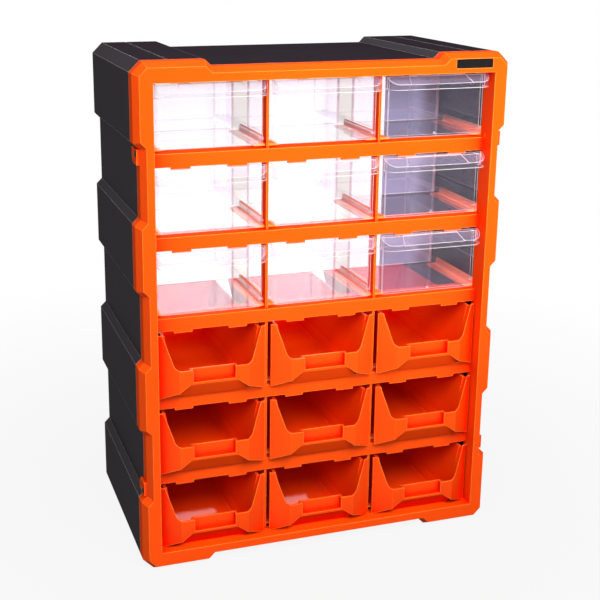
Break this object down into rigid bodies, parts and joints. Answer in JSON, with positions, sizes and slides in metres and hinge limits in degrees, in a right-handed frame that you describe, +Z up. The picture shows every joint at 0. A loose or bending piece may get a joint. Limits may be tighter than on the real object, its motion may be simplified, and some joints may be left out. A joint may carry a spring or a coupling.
{
  "type": "parts bin cabinet",
  "caption": "Upright bench cabinet for small parts: black housing, orange front frame, clear drawers with dividers above open-fronted bins, all sliding out to the front.",
  "frame": {"origin": "middle of the footprint, on the surface that the feet stand on", "axes": "+X to the right seen from the front, +Y from the front to the back, +Z up; drawers and bins pull out along -Y"},
  "size_m": [0.38, 0.21, 0.508],
  "materials": {
    "black_body": "fine satin texture",
    "orange_frame": "semi-gloss",
    "orange_rails": "semi-gloss",
    "black_plate": "gloss, left blank",
    "black_screw": "black coated steel",
    "clear_drawer": "clear",
    "clear_divider": "slightly hazy clear",
    "orange_bin": "semi-gloss"
  },
  "bodies": {
    "cabinet": {"housing": "black_body", "front_frame": "orange_frame", "drawer_rails": "orange_rails", "name_plate": "black_plate", "frame_screws": "black_screw"},
    "drawer_r1c1": {"drawer_r1c1": "clear_drawer", "divider_r1c1": "clear_divider"},
    "drawer_r1c2": {"drawer_r1c2": "clear_drawer", "divider_r1c2": "clear_divider"},
    "drawer_r1c3": {"drawer_r1c3": "clear_drawer", "divider_r1c3": "clear_divider"},
    "drawer_r2c1": {"drawer_r2c1": "clear_drawer", "divider_r2c1": "clear_divider"},
    "drawer_r2c2": {"drawer_r2c2": "clear_drawer", "divider_r2c2": "clear_divider"},
    "drawer_r2c3": {"drawer_r2c3": "clear_drawer", "divider_r2c3": "clear_divider"},
    "drawer_r3c1": {"drawer_r3c1": "clear_drawer", "divider_r3c1": "clear_divider"},
    "drawer_r3c2": {"drawer_r3c2": "clear_drawer", "divider_r3c2": "clear_divider"},
    "drawer_r3c3": {"drawer_r3c3": "clear_drawer", "divider_r3c3": "clear_divider"},
    "bin_r4c1": {"bin_r4c1": "orange_bin"},
    "bin_r4c2": {"bin_r4c2": "orange_bin"},
    "bin_r4c3": {"bin_r4c3": "orange_bin"},
    "bin_r5c1": {"bin_r5c1": "orange_bin"},
    "bin_r5c2": {"bin_r5c2": "orange_bin"},
    "bin_r5c3": {"bin_r5c3": "orange_bin"},
    "bin_r6c1": {"bin_r6c1": "orange_bin"},
    "bin_r6c2": {"bin_r6c2": "orange_bin"},
    "bin_r6c3": {"bin_r6c3": "orange_bin"}
  },
  "joints": [
    {"name": "drawer_r1c1_slide", "type": "slide", "parent": "cabinet", "child": "drawer_r1c1", "axis": [0, -1, 0], "range_m": [0, 0.14]},
    {"name": "drawer_r1c2_slide", "type": "slide", "parent": "cabinet", "child": "drawer_r1c2", "axis": [0, -1, 0], "range_m": [0, 0.14]},
    {"name": "drawer_r1c3_slide", "type": "slide", "parent": "cabinet", "child": "drawer_r1c3", "axis": [0, -1, 0], "range_m": [0, 0.14]},
    {"name": "drawer_r2c1_slide", "type": "slide", "parent": "cabinet", "child": "drawer_r2c1", "axis": [0, -1, 0], "range_m": [0, 0.14]},
    {"name": "drawer_r2c2_slide", "type": "slide", "parent": "cabinet", "child": "drawer_r2c2", "axis": [0, -1, 0], "range_m": [0, 0.14]},
    {"name": "drawer_r2c3_slide", "type": "slide", "parent": "cabinet", "child": "drawer_r2c3", "axis": [0, -1, 0], "range_m": [0, 0.14]},
    {"name": "drawer_r3c1_slide", "type": "slide", "parent": "cabinet", "child": "drawer_r3c1", "axis": [0, -1, 0], "range_m": [0, 0.14]},
    {"name": "drawer_r3c2_slide", "type": "slide", "parent": "cabinet", "child": "drawer_r3c2", "axis": [0, -1, 0], "range_m": [0, 0.14]},
    {"name": "drawer_r3c3_slide", "type": "slide", "parent": "cabinet", "child": "drawer_r3c3", "axis": [0, -1, 0], "range_m": [0, 0.14]},
    {"name": "bin_r4c1_slide", "type": "slide", "parent": "cabinet", "child": "bin_r4c1", "axis": [0, -1, 0], "range_m": [0, 0.14]},
    {"name": "bin_r4c2_slide", "type": "slide", "parent": "cabinet", "child": "bin_r4c2", "axis": [0, -1, 0], "range_m": [0, 0.14]},
    {"name": "bin_r4c3_slide", "type": "slide", "parent": "cabinet", "child": "bin_r4c3", "axis": [0, -1, 0], "range_m": [0, 0.14]},
    {"name": "bin_r5c1_slide", "type": "slide", "parent": "cabinet", "child": "bin_r5c1", "axis": [0, -1, 0], "range_m": [0, 0.14]},
    {"name": "bin_r5c2_slide", "type": "slide", "parent": "cabinet", "child": "bin_r5c2", "axis": [0, -1, 0], "range_m": [0, 0.14]},
    {"name": "bin_r5c3_slide", "type": "slide", "parent": "cabinet", "child": "bin_r5c3", "axis": [0, -1, 0], "range_m": [0, 0.14]},
    {"name": "bin_r6c1_slide", "type": "slide", "parent": "cabinet", "child": "bin_r6c1", "axis": [0, -1, 0], "range_m": [0, 0.14]},
    {"name": "bin_r6c2_slide", "type": "slide", "parent": "cabinet", "child": "bin_r6c2", "axis": [0, -1, 0], "range_m": [0, 0.14]},
    {"name": "bin_r6c3_slide", "type": "slide", "parent": "cabinet", "child": "bin_r6c3", "axis": [0, -1, 0], "range_m": [0, 0.14]}
  ]
}
